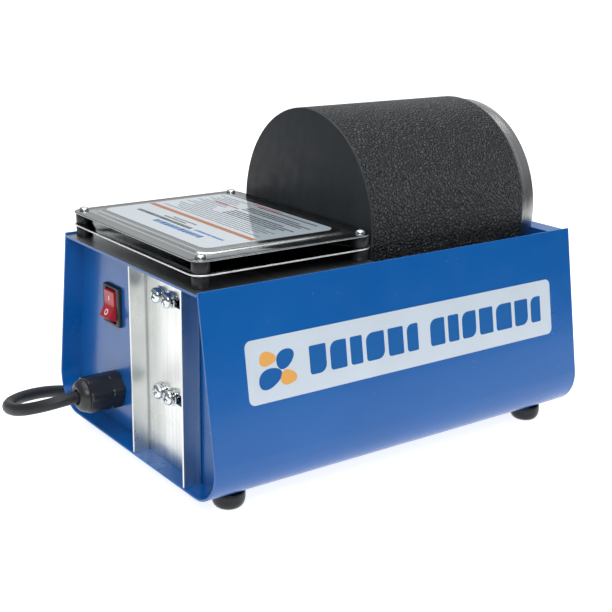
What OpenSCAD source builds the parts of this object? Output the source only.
// Rotary rock tumbler: a rubber barrel rolls on two shafts that stand in a sheet-steel housing.
// X runs along the barrel's axis, with the switch and the cord at -X. Y runs across and Z is up.
// The origin is on the floor, below the middle of the housing.

/* [Housing] */
// Length of the housing along the barrel
shell_l = 290; // [286:1:294]
// Height of the housing above its own underside
shell_h = 124; // [122:1:126]
// Width across the top edges of the side walls
shell_top_w = 167; // [165:1:169]
// Width across the underside, to the sharp corners before bending
shell_bottom_w = 209; // [206:1:212]
// Outside radius of the bend between floor and wall
bend_r = 23; // [20:1:25]
// Thickness of the housing's sheet steel
sheet = 1.5; // [1.2:0.1:1.6]
// How far the end panels stand back from the housing's ends
recess = 13; // [12.5:0.5:13.5]
// Height of the rubber feet
foot_h = 10; // [9:1:11]
// Radius of a rubber foot
foot_r = 10; // [9:0.5:11]

/* [Barrel] */
// Radius of the barrel
barrel_r = 70; // [69:0.5:70]
// Length of the rubber barrel, without its lid
barrel_l = 130; // [129:1:130]
// Height of the barrel's axis above the floor
barrel_z = 145; // [144:0.5:146]
// Radius of the steel lid
lid_r = 68; // [67:0.5:68.5]
// Depth of the steel lid's rim
lid_depth = 12; // [11:0.5:12]

/* [Rollers] */
// Distance of each roller from the middle plane
roller_y = 50; // [48:1:51]
// Radius of the rubber sleeve on a roller
roller_r = 11; // [10:0.5:11.5]
// Radius of the roller shafts
roller_shaft_r = 4; // [3.5:0.25:4.5]
// Radius of the driven pulley at the belt
driven_pulley_r = 30; // [28:1:31]

/* [Motor] */
// Sideways place of the motor's axis
motor_y = -27.25; // [-28:0.25:-27]
// Height of the motor's axis above the floor
motor_z = 86; // [85:0.5:87]
// Radius of the motor pulley at the belt
motor_pulley_r = 7; // [6:0.5:8]
// Travel of the motor along its slots, to tighten the belt
belt_travel = 12; // [8:1:12]

/* [Top plates] */
// Length of the top plates along X
plate_l = 125; // [123:0.5:125]
// Width of the top plates across Y
plate_w = 157.5; // [155:0.5:157.5]
// Radius of the plates' corners
plate_corner_r = 9; // [8:0.5:11]
// Radius of the black standoffs
standoff_r = 5.3; // [5:0.1:6]

/* [Cord] */
// Diameter of the mains cord
cord_d = 8; // [7.5:0.1:8]
// Radius of the put-away coil, at the middle of its turns
coil_r = 45; // [43:1:46]

/* [Hidden] */
$fn = 64;

paint_blue = [0.06, 0.34, 0.66];
zinc = [0.78, 0.8, 0.82];
polished = [0.82, 0.82, 0.8];
black_rubber = [0.12, 0.13, 0.14];
black_plastic = [0.08, 0.08, 0.09];
nylon = [0.9, 0.9, 0.86];

// Housing section, in an end view whose height is counted from the housing's underside
wall_a = atan((shell_bottom_w - shell_top_w) / 2 / shell_h);
bend_y = shell_bottom_w / 2 - bend_r / tan((90 - wall_a) / 2);
inner_r = bend_r - sheet;
function wall_y(r, h) = bend_y + (r - (h - bend_r) * sin(wall_a)) / cos(wall_a);
function wall_tangent(r) = [bend_y + r * cos(wall_a), bend_r + r * sin(wall_a)];
shell_end = shell_l / 2;
panel_x = shell_end - recess;
panel_in = panel_x - sheet;
deck_drop = 1.5;
deck_top = shell_h - deck_drop;
panel_h = deck_top - sheet;
bulkhead_x = -19;
bay_flange_x = shell_end - 0.5;
button_z = foot_h + 108;

// Top plates, counted from the floor
deck_z = foot_h + deck_top;
plate_t = 1;
lower_gap = 7.3;
upper_gap = 7.1;
lower_plate_z = deck_z + lower_gap;
upper_plate_z = lower_plate_z + plate_t + upper_gap;
plate_top_z = upper_plate_z + plate_t;
plate_x = -79.3;
plate_y = 2.6;
standoff_dx = plate_l / 2 - 6.9;
standoff_dy = plate_w / 2 - 6.4;
plateau_l = plate_l - 20;
plateau_w = plate_w - 22;
plateau_h = 1.2;
label_l = 92;
label_w = 125;
label_at = [plate_x + 0.2, 5];
label_t = 0.2;

// Rollers
roller_gap = 0.3;
centre_d = barrel_r + roller_r + roller_gap;
roller_z = barrel_z - sqrt(pow(centre_d, 2) - pow(roller_y, 2));
running = 0.05;
bush_r = 6.5;
bush_flange_r = 9;
pulley_x = -44;
pulley_w = 10;
belt_r = 2;
belt_gap = 0.3;

// Barrel
barrel_x = -15;
barrel_end = barrel_x + barrel_l;
cavity_x = barrel_x + 9;
cavity_end = barrel_end - 8;
cavity_r = 61;
mouth_r = 50;
neck_r = 62;
lid_end = barrel_end + lid_depth;
lid_t = 1.2;
lid_dish = 2;
neck_end = lid_end - lid_dish - 2 * lid_t;
stud_r = 3;

// Motor channel and its slots
channel_y = [-64.5, -2];
channel_t = 1.5;
channel_out = 12.5;
web_x = -panel_x - channel_t;
slot_half = 3.3;
slot_dz = 30;
screw_dy = 6.25;
slot_y = [motor_y + screw_dy + 0.65, motor_y - screw_dy - belt_travel - 0.25];
screw_r = 2.5;
screw_places = [for (dy = [-1, 1], dz = [-1, 1]) [motor_y + dy * screw_dy, motor_z + dz * slot_dz]];

// Switch and gland
switch_y = 42.5;
switch_z = foot_h + 83.5;
bezel_w = 21.5;
bezel_h = 26;
bezel_t = 2.5;
rocker_w = 13;
rocker_tip_r = 10.6;
rocker_tilt = 12;
pivot_in = 0.2;
rocker_crest = 4;
gland_y = 42;
gland_z = foot_h + 27;
gland_mouth_x = -161;
gland_bore = cord_d / 2 + 0.3;

// Cord: points down the middle of the free stretch, then the put-away coil and the plug
cord_r = cord_d / 2;
cord_start_x = -144;
coil_at = [0, 172];
coil_half = 9.5;
coil_h = 24;
cord_points = [
    [-144, 42, 37], [-161, 42, 37], [-170, 42.8, 36.2], [-178.6, 46.2, 34.2], [-185.6, 52.2, 31.6],
    [-190.4, 60.2, 28.8], [-192.4, 69.4, 26.4], [-191.6, 78.6, 24.6], [-188, 87.2, 23.2], [-181.8, 94.2, 22.2],
    [-173.6, 99.6, 21.2], [-164, 103.6, 20], [-153.6, 107, 18.2], [-142.4, 110.4, 15.4], [-130.4, 113.4, 12],
    [-118, 116, 8.8], [-105, 118.2, 6.4], [-91, 120, 4.8], [-76, 121.2, 4.1], [-60, 122, 4.1],
    [-44, 122.4, 4.1], [-28, 122.6, 4.1], [-12, 122.7, 4.1]
];
tail_points = [
    [25, 128.7, 19.5], [37, 135.5, 17.6], [49, 142, 14.6], [60, 147, 12.6], [72, 149.6, 12.1], [84, 150, 12.1]
];
plug_x = 84;
plug_y = 150;
plug_z = 12.1;

// ---- Shapes that repeat ----

// Turns an end view (across, up, along) into the object's own axes
module end_view(x0, z0 = foot_h) {
    translate([x0, 0, z0]) rotate([90, 0, 90]) children();
}

// A cylinder along X
module rod(x0, x1, r, y = 0, z = 0) {
    translate([x0, y, z]) rotate([0, 90, 0]) cylinder(r = r, h = x1 - x0);
}

// A ring along X
module ring(x0, x1, r_out, r_in, y = 0, z = 0) {
    translate([x0, y, z]) rotate([0, 90, 0]) difference() {
        cylinder(r = r_out, h = x1 - x0);
        translate([0, 0, -1]) cylinder(r = r_in, h = x1 - x0 + 2);
    }
}

// A profile of (radius, distance) points turned about an axis along X
module turned(points, x0 = 0, y = 0, z = 0) {
    translate([x0, y, z]) rotate([0, 90, 0]) rotate_extrude($fn = 96) polygon(points);
}

module hexagon(x0, x1, across_flats, y, z) {
    translate([x0, y, z]) rotate([0, 90, 0]) cylinder(r = across_flats / 2 / cos(30), h = x1 - x0, $fn = 6);
}

// A box from one corner to the opposite one
module box(low, high) {
    translate(low) cube(high - low);
}

// A flat plate with round corners, centred in plan
module round_plate(l, w, t, r) {
    translate([-l / 2 + r, -w / 2, 0]) cube([l - 2 * r, w, t]);
    translate([-l / 2, -w / 2 + r, 0]) cube([l, w - 2 * r, t]);
    for (sx = [-1, 1], sy = [-1, 1]) {
        translate([sx * (l / 2 - r), sy * (w / 2 - r), 0]) cylinder(r = r, h = t);
    }
}

// The bend between floor and wall, from radius r0 to r1
module bend(r0, r1, l) {
    translate([bend_y, bend_r, 0])
        rotate_extrude(angle = 90 + wall_a, start = -90)
            translate([r0, 0]) square([r1 - r0, l]);
}

// A sheet that fills the housing's section up to a height
module section_sheet(r, h, t) {
    corner = wall_tangent(r);
    linear_extrude(t) polygon([
        [-wall_y(r, h), h], [-corner[0], corner[1]], [-bend_y, bend_r], [-bend_y, bend_r - r],
        [bend_y, bend_r - r], [bend_y, bend_r], corner, [wall_y(r, h), h]
    ]);
    for (side = [0, 1]) mirror([side, 0, 0]) bend(0, r, t);
}

// Four places on the plates where the standoffs stand
module at_standoffs(z) {
    for (sx = [-1, 1], sy = [-1, 1]) {
        translate([plate_x + sx * standoff_dx, plate_y + sy * standoff_dy, z]) children();
    }
}

foot_screw_r = 2;
foot_head_lift = 0.6;

module at_feet() {
    for (sx = [-1, 1], sy = [-1, 1]) translate([sx * 122, sy * 77, 0]) children();
}

// A straight-sided slot along Y with round ends, cut along X
module slot_cut(x0, x1, z) {
    rod(x0, x1, slot_half, slot_y[0], z);
    rod(x0, x1, slot_half, slot_y[1], z);
    box([x0, slot_y[1], z - slot_half], [x1, slot_y[0], z + slot_half]);
}

// ---- Housing ----

// One folded sheet: a floor, two wide bends and two walls that lean inwards
module outer_shell() color(paint_blue) difference() {
    end_view(-shell_end) {
        translate([-bend_y, 0, 0]) cube([2 * bend_y, sheet, shell_l]);
        for (side = [0, 1]) mirror([side, 0, 0]) {
            bend(inner_r, bend_r, shell_l);
            linear_extrude(shell_l) polygon([
                wall_tangent(inner_r), wall_tangent(bend_r),
                [wall_y(bend_r, shell_h), shell_h], [wall_y(inner_r, shell_h), shell_h]
            ]);
        }
    }
    at_feet() cylinder(r = foot_screw_r, h = foot_h + sheet + 1);
}

module left_end_panel() color(paint_blue) difference() {
    end_view(-panel_x) section_sheet(inner_r, panel_h, sheet);
    for (dz = [-1, 1]) slot_cut(-panel_x - 1, -panel_in + 1, motor_z + dz * slot_dz);
    rod(-panel_x - 1, -panel_in + 1, 9.4, gland_y, gland_z);
    box([-panel_x - 1, switch_y - 8.6, switch_z - 12.6], [-panel_in + 1, switch_y + 8.6, switch_z + 12.6]);
}

module right_end_panel() color(paint_blue) difference() {
    union() {
        end_view(panel_in) section_sheet(inner_r, deck_top - sheet, sheet);
        end_view(panel_in) linear_extrude(bay_flange_x - panel_in) polygon([
            [-wall_y(inner_r, deck_top), deck_top - sheet], [wall_y(inner_r, deck_top), deck_top - sheet],
            [wall_y(inner_r, deck_top), deck_top], [-wall_y(inner_r, deck_top), deck_top]
        ]);
    }
    for (side = [-1, 1]) rod(panel_in - 1, panel_x + 1, bush_r, side * roller_y, roller_z);
}

module bulkhead() color(paint_blue) difference() {
    end_view(bulkhead_x - sheet) section_sheet(inner_r, panel_h, sheet);
    for (side = [-1, 1]) rod(bulkhead_x - sheet - 1, bulkhead_x + 1, bush_r, side * roller_y, roller_z);
    rod(bulkhead_x - sheet - 1, bulkhead_x + 1, 2.5, 0, button_z);
}

// Covers the motor, with ventilation slots that the plates above keep dry
module motor_deck() color(paint_blue) difference() {
    box([-shell_end, -wall_y(inner_r, deck_top), deck_z - sheet],
        [bulkhead_x, wall_y(inner_r, deck_top), deck_z]);
    for (i = [-3:3]) {
        box([plate_x - 28, i * 14 - 2.5, deck_z - sheet - 1], [plate_x + 28, i * 14 + 2.5, deck_z + 1]);
    }
    at_standoffs(deck_z - sheet - 1) cylinder(r = 1.6, h = sheet + 2);
}

module lower_top_plate() color(polished) difference() {
    translate([plate_x, plate_y, lower_plate_z]) round_plate(plate_l, plate_w, plate_t, plate_corner_r);
    at_standoffs(lower_plate_z - 1) cylinder(r = 1.6, h = plate_t + 2);
}

// The upper plate is pressed up in the middle, so it is hollow below
module upper_top_plate() color(polished) difference() {
    union() {
        translate([plate_x, plate_y, upper_plate_z]) round_plate(plate_l, plate_w, plate_t, plate_corner_r);
        translate([plate_x, plate_y, upper_plate_z]) round_plate(plateau_l, plateau_w, plate_t + plateau_h, 10);
    }
    translate([plate_x, plate_y, upper_plate_z - 1])
        round_plate(plateau_l - 2, plateau_w - 2, plateau_h + 1, 9);
    at_standoffs(upper_plate_z - 1) cylinder(r = 1.6, h = plate_t + 2);
}

module standoff(h) {
    difference() {
        cylinder(r = standoff_r, h = h);
        translate([0, 0, -1]) cylinder(r = 1.6, h = h + 2);
    }
}

module lower_standoffs() color(black_rubber) at_standoffs(deck_z) standoff(lower_gap);

module upper_standoffs() color(black_rubber) at_standoffs(lower_plate_z + plate_t) standoff(upper_gap);

// Long M3 pan-head screws through both plates into the deck
module top_plate_screws() color(zinc) at_standoffs(0) {
    translate([0, 0, plate_top_z]) difference() {
        union() {
            cylinder(r = 3.1, h = 1.2);
            translate([0, 0, 1.2]) cylinder(r1 = 3.1, r2 = 1.8, h = 1.1);
        }
        for (turn = [0, 90]) rotate(turn) translate([-1.7, -0.4, 1.3]) cube([3.4, 0.8, 2]);
    }
    translate([0, 0, deck_z - sheet - 3]) cylinder(r = 1.5, h = plate_top_z - deck_z + sheet + 3);
}

module instruction_label() color("white")
    translate([label_at[0], label_at[1], plate_top_z + plateau_h]) round_plate(label_l, label_w, label_t, 6);

// The sticker lies on the near wall, which leans inwards
module side_label() color([0.85, 0.87, 0.9]) {
    along = [-119, 123.5];
    down = [31.5, 68.5];
    translate([0, -wall_y(bend_r, shell_h), foot_h + shell_h]) rotate([90 - wall_a, 0, 0])
        translate([(along[0] + along[1]) / 2, -(down[0] + down[1]) / 2, 0])
            round_plate(along[1] - along[0], down[1] - down[0], label_t, 4);
}

// ---- Feet ----

// A domed rubber foot with a small flat that rests on the floor
module rubber_feet() color(black_rubber) at_feet() difference() {
    rotate_extrude() polygon(concat(
        [[0, 0], [foot_r * 0.62, 0]],
        [for (a = [15:15:75]) [foot_r * (0.62 + 0.38 * sin(a)), foot_h * 0.62 * (1 - cos(a))]],
        [[foot_r, foot_h * 0.62], [foot_r, foot_h], [0, foot_h]]
    ));
    translate([0, 0, 4]) cylinder(r = foot_screw_r, h = foot_h);
}

module foot_screws() color(zinc) at_feet() {
    translate([0, 0, 4]) cylinder(r = foot_screw_r, h = foot_h + sheet + foot_head_lift - 4);
    translate([0, 0, foot_h + sheet + foot_head_lift]) difference() {
        cylinder(r = 4, h = 2.6);
        for (turn = [0, 90]) rotate(turn) translate([-2.4, -0.5, 1.4]) cube([4.8, 1, 2]);
    }
}

// ---- Motor channel, its fasteners and the motor's bracket ----

module motor_mount_channel() color("silver") difference() {
    low_z = foot_h + sheet;
    top_z = foot_h + panel_h;
    union() {
        box([web_x, channel_y[0], low_z], [-panel_x, channel_y[1], top_z]);
        for (y = [channel_y[0], channel_y[1] - channel_t]) {
            box([-panel_x - channel_out, y, low_z], [-panel_x, y + channel_t, top_z]);
        }
    }
    for (dz = [-1, 1]) slot_cut(web_x - 1, -panel_x + 1, motor_z + dz * slot_dz);
}

washer_t = 1;
spring_t = 1.3;
head_t = 3.1;
washer_x = web_x - washer_t;
spring_x = washer_x - spring_t;
head_x = spring_x - head_t;
bracket_x = -panel_in;
bracket_t = 1.6;

module at_slot_screws() {
    for (place = screw_places) translate([0, place[0], place[1]]) children();
}

module slot_screws() color(zinc) at_slot_screws() {
    difference() {
        turned([[0, 0], [2.6, 0], [4, 0.8], [4.75, 2.2], [4.75, head_t], [0, head_t]], head_x);
        for (turn = [20, 110]) rotate([turn, 0, 0]) box([head_x - 1, -2.7, -0.6], [head_x + 1.6, 2.7, 0.6]);
    }
    rod(spring_x, bracket_x + bracket_t + 6, screw_r);
}

// Split spring washers
module slot_spring_washers() color(zinc) at_slot_screws() difference() {
    ring(spring_x, washer_x, 4.5, screw_r + 0.15);
    rotate([50, 0, 0]) box([spring_x - 1, 0, -0.4], [washer_x + 1, 6, 0.4]);
}

module slot_washers() color(zinc) at_slot_screws() ring(washer_x, web_x, 5.4, screw_r + 0.15);

stack_half_z = 36;
stack_half_y = 27;
stack_x = [-104, -78];
bolt_dy = 23;

// A folded bracket: its back is clamped to the panel and its two arms hold the motor's core
module motor_bracket() color(zinc) difference() {
    union() {
        box([bracket_x, motor_y - 18, motor_z - stack_half_z - bracket_t],
            [bracket_x + bracket_t, motor_y + 18, motor_z + stack_half_z + bracket_t]);
        for (z = [motor_z - stack_half_z - bracket_t, motor_z + stack_half_z]) {
            box([bracket_x, motor_y - 18, z], [stack_x[1] - 4, motor_y + 18, z + bracket_t]);
        }
    }
    at_slot_screws() rod(bracket_x - 1, bracket_x + bracket_t + 1, screw_r);
    rod(bracket_x - 1, bracket_x + bracket_t + 1, 12, motor_y, motor_z);
}

module bracket_nuts() color(zinc) at_slot_screws() difference() {
    hexagon(bracket_x + bracket_t, bracket_x + bracket_t + 4, 8, 0, 0);
    rod(bracket_x, bracket_x + 8, screw_r);
}

// ---- Motor ----

rotor_r = 14;
air_gap = 0.4;

// Laminated core with the rotor's bore, a coil window below it and two bolt holes
module stator_core() color([0.35, 0.36, 0.38]) difference() {
    box([stack_x[0], motor_y - stack_half_y, motor_z - stack_half_z],
        [stack_x[1], motor_y + stack_half_y, motor_z + stack_half_z]);
    rod(stack_x[0] - 1, stack_x[1] + 1, rotor_r + air_gap, motor_y, motor_z);
    for (side = [-1, 1]) {
        box([stack_x[0] - 1, motor_y + side * 14 - 4.5, motor_z - 31],
            [stack_x[1] + 1, motor_y + side * 14 + 4.5, motor_z - 17]);
        rod(stack_x[0] - 1, stack_x[1] + 1, 2, motor_y + side * bolt_dy, motor_z);
    }
}

// The winding goes round the leg between the two windows
module stator_coil() color([0.72, 0.38, 0.2]) difference() {
    box([stack_x[0] - 7, motor_y - 18, motor_z - 30.5], [stack_x[1] + 7, motor_y + 18, motor_z - 17.5]);
    box([stack_x[0] - 0.2, motor_y - 9.7, motor_z - 32], [stack_x[1] + 0.2, motor_y + 9.7, motor_z - 16]);
}

bridge_t = 2.5;
bridge_gap = 9;

// A cast bridge across the core that carries a plain bearing
module bridge(face, out, boss_l) {
    x_far = face + out * bridge_gap;
    difference() {
        union() {
            box([min(x_far, x_far + out * bridge_t), motor_y - 27, motor_z - 6],
                [max(x_far, x_far + out * bridge_t), motor_y + 27, motor_z + 6]);
            for (side = [-1, 1]) {
                rod(min(face, x_far), max(face, x_far), 4.5, motor_y + side * bolt_dy, motor_z);
            }
            rod(min(x_far, x_far + out * boss_l), max(x_far, x_far + out * boss_l), 8, motor_y, motor_z);
        }
        rod(min(face, x_far) - 12, max(face, x_far) + 12, 3 + running, motor_y, motor_z);
        for (side = [-1, 1]) {
            rod(min(face, x_far) - 12, max(face, x_far) + 12, 2, motor_y + side * bolt_dy, motor_z);
        }
    }
}

module front_bridge() color("silver") bridge(stack_x[1], 1, 8);

module rear_bridge() color("silver") bridge(stack_x[0], -1, 4);

module motor_bolts() color(zinc) for (side = [-1, 1]) {
    x_rear = stack_x[0] - bridge_gap - bridge_t;
    x_front = stack_x[1] + bridge_gap + bridge_t;
    y = motor_y + side * bolt_dy;
    rod(x_rear, x_front, 2, y, motor_z);
    rod(x_front, x_front + 2.6, 3.6, y, motor_z);
    hexagon(x_rear - 3, x_rear, 7, y, motor_z);
}

module rotor_core() color([0.6, 0.6, 0.62])
    ring(stack_x[0] - 2, stack_x[1] + 2, rotor_r, 3, motor_y, motor_z);

fan_x = [-126, -118];

module motor_shaft() color("silver") rod(fan_x[0] - 1, pulley_x + pulley_w + 2, 3, motor_y, motor_z);

// Half section of a round-belt pulley: rim radius, radius at the groove's bottom, width
module pulley_profile(rim, groove, w) {
    lip = (w - 2 * belt_r - 2) / 2;
    polygon([[3, 0], [rim, 0], [rim, lip], [groove, lip + 0.8], [groove, w - lip - 0.8],
        [rim, w - lip], [rim, w], [3, w]]);
}

module motor_pulley() color("silver") translate([pulley_x, motor_y, motor_z]) rotate([0, 90, 0])
    rotate_extrude() pulley_profile(motor_pulley_r + 2, motor_pulley_r - belt_r, pulley_w);

// Five straight blades on a hub behind the motor
module cooling_fan() color([0.2, 0.22, 0.25]) {
    ring(fan_x[0], fan_x[1], 6, 3, motor_y, motor_z);
    for (i = [0:4]) translate([fan_x[0], motor_y, motor_z]) rotate([i * 72, 0, 0]) difference() {
        translate([4, 0, 12]) rotate([0, 0, 35]) cube([1.2, 9, 15], center = true);
        rod(-10, 20, 5, 0, 0);
    }
}

// ---- Belt drive ----

belt_dy = roller_y - motor_y;
belt_dz = roller_z - motor_z;
belt_c = sqrt(pow(belt_dy, 2) + pow(belt_dz, 2));
belt_rise = atan2(belt_dz, belt_dy);
belt_wrap = asin((driven_pulley_r - motor_pulley_r) / belt_c);
belt_x = pulley_x + pulley_w / 2;
belt_small = motor_pulley_r + belt_gap;
belt_big = driven_pulley_r + belt_gap;

// Middle line of the belt across X: an arc on each pulley and two straight runs
belt_line = concat(
    [for (i = [0:10]) let (a = 90 + belt_wrap + i / 10 * (180 - 2 * belt_wrap))
        [0, belt_small * cos(a), belt_small * sin(a)]],
    [for (i = [0:28]) let (a = -90 - belt_wrap + i / 28 * (180 + 2 * belt_wrap))
        [0, belt_c + belt_big * cos(a), belt_big * sin(a)]]
);

// One round belt, closed on itself
module drive_belt() color(black_rubber) translate([belt_x, motor_y, motor_z]) rotate([belt_rise, 0, 0]) {
    n = len(belt_line);
    sides = 12;
    polyhedron(
        points = [for (i = [0:n - 1]) each ring_points(belt_line[i],
            belt_line[(i + 1) % n] - belt_line[(i + n - 1) % n], belt_r, sides, [1, 0, 0])],
        faces = [for (i = [0:n - 1]) each band_faces(i * sides, (i + 1) % n * sides, sides)]
    );
}

// ---- Rollers ----

shaft_right = panel_x + 7;
clip_places = [shaft_right - 2.6, bulkhead_x - 7.6];
clip_t = 1;
clip_groove_r = roller_shaft_r - 0.6;

module roller_shaft(side, x0) difference() {
    rod(x0, shaft_right, roller_shaft_r, side * roller_y, roller_z);
    for (x = clip_places) {
        ring(x, x + clip_t, roller_shaft_r + 1, clip_groove_r, side * roller_y, roller_z);
    }
}

module roller_sleeve(side) ring(-10, 112, roller_r, roller_shaft_r, side * roller_y, roller_z);

// Retaining clips in the shaft's two grooves
module roller_clips(side) {
    for (x = clip_places) difference() {
        ring(x, x + clip_t, 7, clip_groove_r, side * roller_y, roller_z);
        box([x - 1, side * roller_y - 1.6, roller_z], [x + 2, side * roller_y + 1.6, roller_z + 9]);
    }
}

module drive_shaft() color("silver") roller_shaft(1, pulley_x - 4);

module drive_sleeve() color(black_rubber) roller_sleeve(1);

module drive_clips() color(zinc) roller_clips(1);

module idler_shaft() color("silver") roller_shaft(-1, bulkhead_x - 9);

module idler_sleeve() color(black_rubber) roller_sleeve(-1);

module idler_clips() color(zinc) roller_clips(-1);

module drive_pulley() color([0.25, 0.26, 0.28]) translate([pulley_x, roller_y, roller_z]) rotate([0, 90, 0])
    difference() {
        union() {
            rotate_extrude() pulley_profile(driven_pulley_r + 3, driven_pulley_r - belt_r, pulley_w);
            translate([0, 0, pulley_w - 1]) cylinder(r = 8, h = 6);
        }
        translate([0, 0, -1]) cylinder(r = roller_shaft_r, h = 30);
        for (i = [0:4]) rotate(i * 72) translate([17, 0, -1]) cylinder(r = 5.5, h = pulley_w + 2);
    }

// Flanged nylon bushes: two in the bulkhead and two in the right end panel
module shaft_bearings() color(nylon) for (side = [-1, 1]) {
    bush(bulkhead_x, -1, side);
    bush(panel_in, 1, side);
}

module bush(face, out, side) {
    tip = face + out * 5.5;
    ring(min(face, tip), max(face, tip), bush_r, roller_shaft_r + running, side * roller_y, roller_z);
    flange = face - out * 1.5;
    ring(min(face, flange), max(face, flange), bush_flange_r, roller_shaft_r + running,
        side * roller_y, roller_z);
}

module thrust_button() color(nylon) translate([bulkhead_x, 0, button_z]) rotate([0, 90, 0]) {
    cylinder(r = 8, h = 2);
    translate([0, 0, 2]) cylinder(r1 = 8, r2 = 5, h = 1.2);
    translate([0, 0, -4]) cylinder(r = 2.5, h = 4);
    translate([0, 0, -4]) cylinder(r = 3.4, h = 2.4);
}

// ---- Barrel ----

// A thick rubber pot with ten flats inside, which lift the stones as it turns
module barrel() color(black_rubber) translate([0, 0, barrel_z]) difference() {
    turned([
        [0, barrel_x], [barrel_r - 2, barrel_x], [barrel_r - 0.6, barrel_x + 0.6], [barrel_r, barrel_x + 2],
        [barrel_r, barrel_end - 2], [barrel_r - 0.7, barrel_end - 0.7], [barrel_r - 1.2, barrel_end],
        [neck_r, barrel_end], [neck_r, neck_end], [0, neck_end]
    ]);
    translate([cavity_x, 0, 0]) rotate([0, 90, 0])
        cylinder(r = cavity_r, h = cavity_end - cavity_x, $fn = 10);
    rod(cavity_end - 1, neck_end + 1, mouth_r);
}

// A dished steel lid that plugs the mouth and rests on the neck
module inner_lid() color(polished) turned([
    [stud_r, neck_end - 8], [mouth_r - 2.5, neck_end - 8], [mouth_r - 0.6, neck_end - 6.5],
    [mouth_r - 0.6, neck_end], [neck_r - 2, neck_end], [neck_r - 2, neck_end + lid_t],
    [mouth_r - 1.8, neck_end + lid_t], [mouth_r - 1.8, neck_end - 6], [mouth_r - 3, neck_end - 6.8],
    [stud_r, neck_end - 6.8]
], 0, 0, barrel_z);

// A steel cap over the barrel's neck, with a raised rim and a pressed ring
module outer_lid() color([0.62, 0.61, 0.6]) turned([
    [stud_r + 0.3, lid_end - lid_dish - lid_t], [lid_r - 8, lid_end - lid_dish - lid_t],
    [lid_r - 7, lid_end - lid_t], [lid_r - lid_t, lid_end - lid_t], [lid_r - lid_t, barrel_end + 0.3],
    [lid_r, barrel_end + 0.3], [lid_r, lid_end - 0.8], [lid_r - 0.8, lid_end], [lid_r - 7.6, lid_end],
    [lid_r - 8.6, lid_end - lid_dish], [stud_r + 0.3, lid_end - lid_dish]
], 0, 0, barrel_z);

module lid_stud() color(zinc) rod(neck_end - 8, lid_end + 9, stud_r, 0, barrel_z);

module lid_washer() color(zinc)
    ring(lid_end - lid_dish, lid_end - lid_dish + 1.2, 9, stud_r + 0.3, 0, barrel_z);

// A round hand nut with twelve grip grooves
module lid_nut() color(zinc) difference() {
    nut_x = lid_end - lid_dish + 1.5;
    bore_r = stud_r + running;
    turned([[bore_r, 0], [6, 0], [6, 0.8], [9, 1.6], [9, 6.2], [8.2, 7], [bore_r, 7]], nut_x, 0, barrel_z);
    for (i = [0:11]) translate([nut_x + 1, 0, barrel_z]) rotate([i * 30, 0, 0]) rod(0, 8, 0.9, 0, 9.2);
}

// ---- Switch ----

// Bezel and hollow box; the rocker swings in its window
module switch_body() color(black_plastic) difference() {
    inside_x = -panel_x + 21;
    union() {
        box([-panel_x - bezel_t, switch_y - bezel_w / 2, switch_z - bezel_h / 2],
            [-panel_x, switch_y + bezel_w / 2, switch_z + bezel_h / 2]);
        box([-panel_x, switch_y - 8.4, switch_z - 12.4], [inside_x, switch_y + 8.4, switch_z + 12.4]);
    }
    box([-panel_x - bezel_t - 1, switch_y - rocker_w / 2 - 0.4, switch_z - rocker_tip_r - 0.4],
        [-panel_x + 14, switch_y + rocker_w / 2 + 0.4, switch_z + rocker_tip_r + 0.4]);
}

// At rest the upper half is pressed in (on) and the lower half stands out
module switch_rocker() color([0.7, 0.16, 0.17]) translate([-panel_x + pivot_in, switch_y, switch_z])
    rotate([0, rocker_tilt, 0]) intersection() {
        rise = 12 * tan(rocker_tilt);
        rotate([90, 0, 0]) translate([0, 0, -rocker_w / 2]) linear_extrude(rocker_w) polygon([
            [7, -7], [7, 7], [2, 12], [-rocker_crest - rise, 12], [-rocker_crest, 0],
            [-rocker_crest - rise, -12], [2, -12]
        ]);
        rotate([90, 0, 0]) cylinder(r = rocker_tip_r, h = rocker_w + 2, center = true);
    }

module switch_terminals() color("gold") for (dz = [-7, 0, 7]) {
    box([-panel_x + 21, switch_y - 2.4, switch_z + dz - 0.4],
        [-panel_x + 29, switch_y + 2.4, switch_z + dz + 0.4]);
}

// ---- Cord gland and wiring ----

gland_hex = 22.5;
cap_back_x = -panel_x - 8.2;
base_front_x = -panel_x - 7.6;
thread_x = -panel_x - 13;
dome_l = 5.8;

module gland_body() color(black_plastic) difference() {
    union() {
        hexagon(base_front_x, -panel_x, gland_hex, gland_y, gland_z);
        rod(-panel_x, -panel_x + 11, 9.3, gland_y, gland_z);
        rod(thread_x, base_front_x, 8.5, gland_y, gland_z);
    }
    rod(-panel_x - 20, -panel_x + 20, gland_bore, gland_y, gland_z);
}

// The dome nut squeezes the seal on the cord
module gland_cap() color(black_plastic) difference() {
    dome_x = gland_mouth_x + dome_l;
    union() {
        hexagon(dome_x, cap_back_x, gland_hex, gland_y, gland_z);
        turned([[0, 0], [6.6, 0], [8.6, 1], [10.2, 2.8], [11, 4.6], [11, dome_l], [0, dome_l]],
            gland_mouth_x, gland_y, gland_z);
    }
    rod(gland_mouth_x - 1, -panel_x, gland_bore, gland_y, gland_z);
    rod(thread_x - 0.3, -panel_x, 8.6, gland_y, gland_z);
}

module gland_locknut() color(black_plastic) difference() {
    hexagon(-panel_in, -panel_in + 5, 23, gland_y, gland_z);
    rod(-panel_in - 1, -panel_in + 6, 9.3, gland_y, gland_z);
}

module cord_end() color(black_rubber) rod(cord_start_x, -panel_x + 20, cord_r, gland_y, gland_z);

wire_r = 1.2;
cord_tip = [-panel_x + 20, gland_y, gland_z];
switch_back = [-panel_x + 29.4, switch_y, switch_z];
coil_back_x = stack_x[0] - 7.3;
cap_places = [[-96, 58, 40], [-96, 68, 40]];
cap_half = 12;
earth_at = [-100, 30, foot_h + sheet];

module lead_wire(points) {
    tube(points, wire_r, 8, [-1, -0.75, -0.25]);
}

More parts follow.
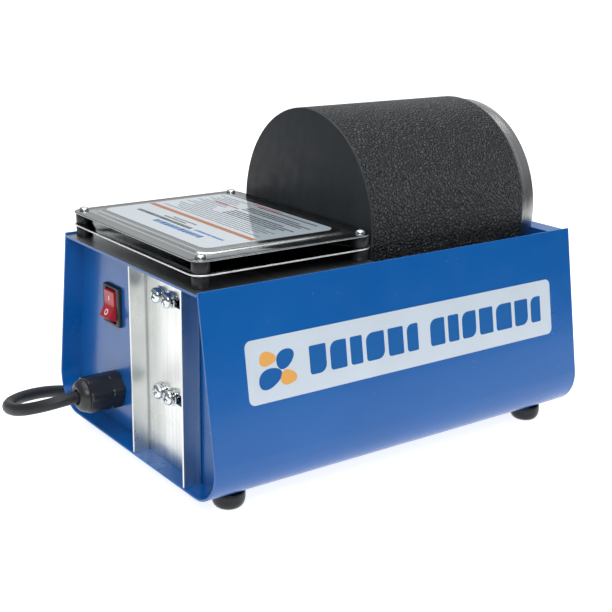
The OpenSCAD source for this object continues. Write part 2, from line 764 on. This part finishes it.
// Three cores from the cord and two leads to the motor's winding
module lead_wires() color([0.45, 0.3, 0.2]) {
    lead_wire([cord_tip + [0, -2.4, 0], cord_tip + [8, -2.4, 1], cord_tip + [16, -2, 7], [-92, 40, 56],
        [-90, 42, 72], [-91, 42.5, 82], [-95, 42.5, 86], switch_back + [0, 0, -7]]);
    lead_wire([switch_back, switch_back + [7, 0.6, -0.4], [-92, 46, 91], [-93, 53, 84], [-95, 57, 72],
        cap_places[0] + [0, 0, 20], cap_places[0] + [0, 0, cap_half]]);
    lead_wire([cord_tip + [0, 2.4, 0], cord_tip + [8, 3, 1], [-95, 47, 50], [-89, 54, 63], [-89, 61, 69],
        [-92, 66, 67], [-96, 68, 60], cap_places[1] + [0, 0, cap_half]]);
    lead_wire([cord_tip + [0, 0, -2.6], cord_tip + [6, 0, -3.2], [-102, 41.5, 31], [-100, 41, 25.5],
        [-100, 39.5, 21.5], [-100, 36.5, 18.5], earth_at + [0, 2.4, 6.1]]);
    lead_wire([cap_places[0] - [0, 0, cap_half], [-96, 57, 22], [-99, 54, 18], [-107, 44, 16], [-111, 30, 16],
        [-113, 12, 20], [-116, 3, 36], [-117, -3, 48], [-116, -9, 55.5], [-114, -11.5, 57.5],
        [coil_back_x, -12, 57.8]]);
    lead_wire([cap_places[1] - [0, 0, cap_half], [-96, 67, 21], [-99, 63, 15.5], [-108, 50, 14.4],
        [-115, 30, 14.8], [-118, 12, 20], [-122, 5, 36], [-123.5, -2, 49], [-123, -10, 58], [-119, -17, 62],
        [coil_back_x, -19, 62.5]]);
}

// Closed connectors that join the cord's cores to the motor's leads
module wire_caps() color([0.85, 0.85, 0.8]) for (place = cap_places) {
    translate(place - [0, 0, cap_half]) cylinder(r = 3.2, h = 2 * cap_half);
}

module earth_stud() color(zinc) {
    translate(earth_at) cylinder(r = 2, h = 9);
    translate(earth_at + [0, 0, 1]) cylinder(r = 4, h = 3.2, $fn = 6);
}

// ---- Free cord and plug ----

function direction(points, i) =
    let (a = points[max(i - 1, 0)], b = points[min(i + 1, len(points) - 1)]) (b - a) / norm(b - a);

// A ring of points across a direction
function ring_points(centre, along, r, sides, reference) =
    let (across = cross(reference, along) / norm(cross(reference, along)),
        up = cross(along, across) / norm(along))
    [for (k = [0:sides - 1]) centre + r * (cos(360 * k / sides) * across + sin(360 * k / sides) * up)];

// Triangles between the ring that starts at point a and the ring that starts at point b
function band_faces(a, b, sides) =
    [for (k = [0:sides - 1], half = [0, 1]) let (j = (k + 1) % sides)
        half == 0 ? [a + k, b + k, b + j] : [a + k, b + j, a + j]];

// A tube along points, closed at both ends; the reference is a direction that the points never take
module tube(points, r = cord_r, sides = 10, reference = [0, 0, 1]) {
    last = (len(points) - 1) * sides;
    polyhedron(
        points = [for (i = [0:len(points) - 1])
            each ring_points(points[i], direction(points, i), r, sides, reference)],
        faces = concat(
            [[for (k = [0:sides - 1]) k]],
            [for (i = [0:len(points) - 2]) each band_faces(i * sides, (i + 1) * sides, sides)],
            [[for (k = [sides - 1:-1:0]) last + k]]
        )
    );
}

module cord_run() color(black_rubber) tube(cord_points);

// The outer shape of the neat coil that lies behind the housing
module cord_coil() color(black_rubber) translate([coil_at[0], coil_at[1], 0]) rotate_extrude() polygon([
    [coil_r - coil_half + 3, 0], [coil_r + coil_half - 3, 0], [coil_r + coil_half, 4],
    [coil_r + coil_half, coil_h - 6], [coil_r + coil_half - 4, coil_h], [coil_r - coil_half + 4, coil_h],
    [coil_r - coil_half, coil_h - 6], [coil_r - coil_half, 4]
]);

module cord_tail() color(black_rubber) tube(tail_points);

// A moulded plug that lies on its side beside the coil
module plug_body() color(black_rubber) translate([plug_x, plug_y, plug_z]) {
    turned([[0, 0], [5, 0], [5.6, 6], [6.6, 14], [9, 18], [0, 18]]);
    box([18, -13, -12], [26, 13, 12]);
    box([26, -11, -11], [38, 11, 11]);
}

module plug_pins() color("gold") translate([plug_x + 38, plug_y, plug_z]) {
    for (side = [-1, 1]) box([0, side * 6.35 - 0.75, -2.2], [16, side * 6.35 + 0.75, 4.2]);
    rod(0, 19, 2.4, 0, -7.5);
}

outer_shell();
left_end_panel();
right_end_panel();
bulkhead();
motor_deck();
lower_top_plate();
upper_top_plate();
lower_standoffs();
upper_standoffs();
top_plate_screws();
instruction_label();
side_label();
rubber_feet();
foot_screws();
motor_mount_channel();
slot_screws();
slot_spring_washers();
slot_washers();
motor_bracket();
bracket_nuts();
stator_core();
stator_coil();
front_bridge();
rear_bridge();
motor_bolts();
rotor_core();
motor_shaft();
motor_pulley();
cooling_fan();
drive_belt();
drive_shaft();
drive_sleeve();
drive_pulley();
drive_clips();
idler_shaft();
idler_sleeve();
idler_clips();
shaft_bearings();
thrust_button();
barrel();
inner_lid();
outer_lid();
lid_stud();
lid_washer();
lid_nut();
switch_body();
switch_rocker();
switch_terminals();
gland_body();
gland_cap();
gland_locknut();
cord_end();
lead_wires();
wire_caps();
earth_stud();
cord_run();
cord_coil();
cord_tail();
plug_body();
plug_pins();
